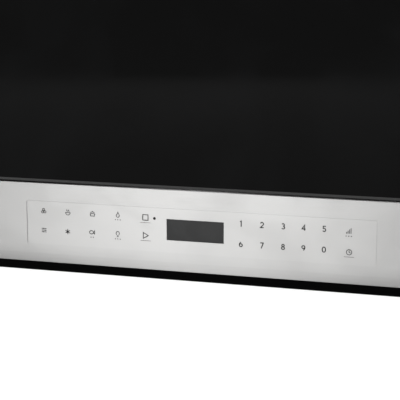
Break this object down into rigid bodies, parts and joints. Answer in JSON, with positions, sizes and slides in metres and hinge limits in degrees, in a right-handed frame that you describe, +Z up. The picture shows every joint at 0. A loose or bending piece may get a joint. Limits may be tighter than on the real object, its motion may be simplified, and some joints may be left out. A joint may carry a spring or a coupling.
{
  "type": "over the range microwave oven",
  "caption": "Over-the-range microwave oven with a full-width black glass door above a stainless touch-control strip, turntable cavity, ventilation blower and top exhaust",
  "frame": {"origin": "on the underside, under the middle of the overall box with the door handle and exhaust collar", "axes": "+X right as the user faces the oven, -Y front, +Z up"},
  "size_m": [0.759, 0.424, 0.436],
  "materials": {
    "stainless": "brushed",
    "black_glass": "polished",
    "clear_glass": "polished",
    "clear_plastic": "clear",
    "black_plastic": "fine texture",
    "dark_bevel": "gloss",
    "display_glass": "smoked",
    "overlay_film": "printed film",
    "case_paint": "powder coat",
    "cavity_enamel": "baked enamel",
    "galvanised": "galvanised sheet",
    "aluminium_mesh": "expanded mesh",
    "charcoal_pad": "granular",
    "white_plastic": "moulded",
    "mica": "mica sheet",
    "circuit_board": "solder mask",
    "spring_steel": "plain",
    "iron_core": "laminated, varnished"
  },
  "bodies": {
    "cabinet": {"outer_case": "case_paint", "back_plate": "galvanised", "base_plate": "case_paint", "cavity_front_plate": "cavity_enamel", "oven_cavity": "cavity_enamel", "waveguide_cover": "mica", "mount_nuts": "galvanised", "cord_bushing": "black_plastic", "upper_hinge": "galvanised", "lower_hinge": "galvanised", "latch_board": "white_plastic", "interlock_switches": "black_plastic", "control_fascia": "stainless", "control_overlay": "overlay_film", "display_window": "display_glass", "display_module": "black_plastic", "control_board": "circuit_board", "control_bracket": "white_plastic", "bottom_trim": "black_plastic", "vent_grille": "black_plastic", "charcoal_filter": "charcoal_pad", "grease_filter_left": "aluminium_mesh", "grease_filter_right": "aluminium_mesh", "cooktop_lens_left": "clear_glass", "cooktop_lens_right": "clear_glass", "cooktop_lamps": "galvanised", "turntable_motor": "galvanised", "waveguide": "galvanised", "magnetron": "galvanised", "high_voltage_transformer": "iron_core", "high_voltage_capacitor": "galvanised", "thermal_cutout": "black_plastic", "cavity_lamp": "galvanised", "fan_shroud": "galvanised", "cooling_fan_motor": "iron_core", "blower_housing": "galvanised", "blower_motor": "iron_core", "exhaust_collar": "galvanised"},
    "door": {"door_frame": "black_plastic", "door_glass": "black_glass", "door_bevel_trim": "dark_bevel", "door_choke_cover": "black_plastic", "door_screen": "case_paint", "door_inner_panel": "clear_plastic", "door_handle": "stainless", "handle_posts": "stainless", "latch_spring": "spring_steel"},
    "latch": {"latch_hooks": "white_plastic"},
    "tray": {"tray_coupler": "white_plastic", "glass_tray": "clear_glass"},
    "ring": {"roller_ring": "white_plastic"},
    "roller_a": {"roller_1": "white_plastic"},
    "roller_b": {"roller_2": "white_plastic"},
    "roller_c": {"roller_3": "white_plastic"},
    "blower": {"blower_shaft": "spring_steel", "blower_wheels": "black_plastic"},
    "fan": {"cooling_fan": "black_plastic"},
    "damper": {"exhaust_damper": "galvanised"}
  },
  "joints": [
    {"name": "door_hinge", "type": "hinge", "parent": "cabinet", "child": "door", "pos_m": [-0.3705, -0.15, 0.237], "axis": [0, 0, -1], "range_deg": [0, 110]},
    {"name": "latch_lift", "type": "slide", "parent": "door", "child": "latch", "axis": [0, 0, 1], "range_m": [0, 0.005], "stiffness_N_per_m": 400, "springref_m": -0.002, "deforming": ["latch_spring"]},
    {"name": "tray_spin", "type": "hinge", "parent": "cabinet", "child": "tray", "pos_m": [-0.085, 0.0295, 0.141], "axis": [0, 0, 1], "continuous": true},
    {"name": "ring_spin", "type": "hinge", "parent": "cabinet", "child": "ring", "pos_m": [-0.085, 0.0295, 0.135], "axis": [0, 0, 1], "continuous": true},
    {"name": "roller_a_spin", "type": "hinge", "parent": "ring", "child": "roller_a", "pos_m": [0.016, 0.0295, 0.1353], "axis": [1, 0, 0], "continuous": true},
    {"name": "roller_b_spin", "type": "hinge", "parent": "ring", "child": "roller_b", "pos_m": [-0.1355, 0.11697, 0.1353], "axis": [-0.5, 0.866, 0], "continuous": true},
    {"name": "roller_c_spin", "type": "hinge", "parent": "ring", "child": "roller_c", "pos_m": [-0.1355, -0.05797, 0.1353], "axis": [-0.5, -0.866, 0], "continuous": true},
    {"name": "blower_spin", "type": "hinge", "parent": "cabinet", "child": "blower", "pos_m": [0, 0.132, 0.3753], "axis": [1, 0, 0], "continuous": true},
    {"name": "fan_spin", "type": "hinge", "parent": "cabinet", "child": "fan", "pos_m": [0.2835, 0.165, 0.2355], "axis": [0, 1, 0], "continuous": true},
    {"name": "damper_lift", "type": "hinge", "parent": "cabinet", "child": "damper", "pos_m": [0, 0.187, 0.424], "axis": [-1, 0, 0], "range_deg": [0, 80]}
  ],
  "couplings": [
    {"joint": "ring_spin", "follows": "tray_spin", "ratio": 0.5},
    {"joint": "roller_a_spin", "follows": "tray_spin", "ratio": -6.3125},
    {"joint": "roller_b_spin", "follows": "tray_spin", "ratio": -6.3125},
    {"joint": "roller_c_spin", "follows": "tray_spin", "ratio": -6.3125}
  ]
}
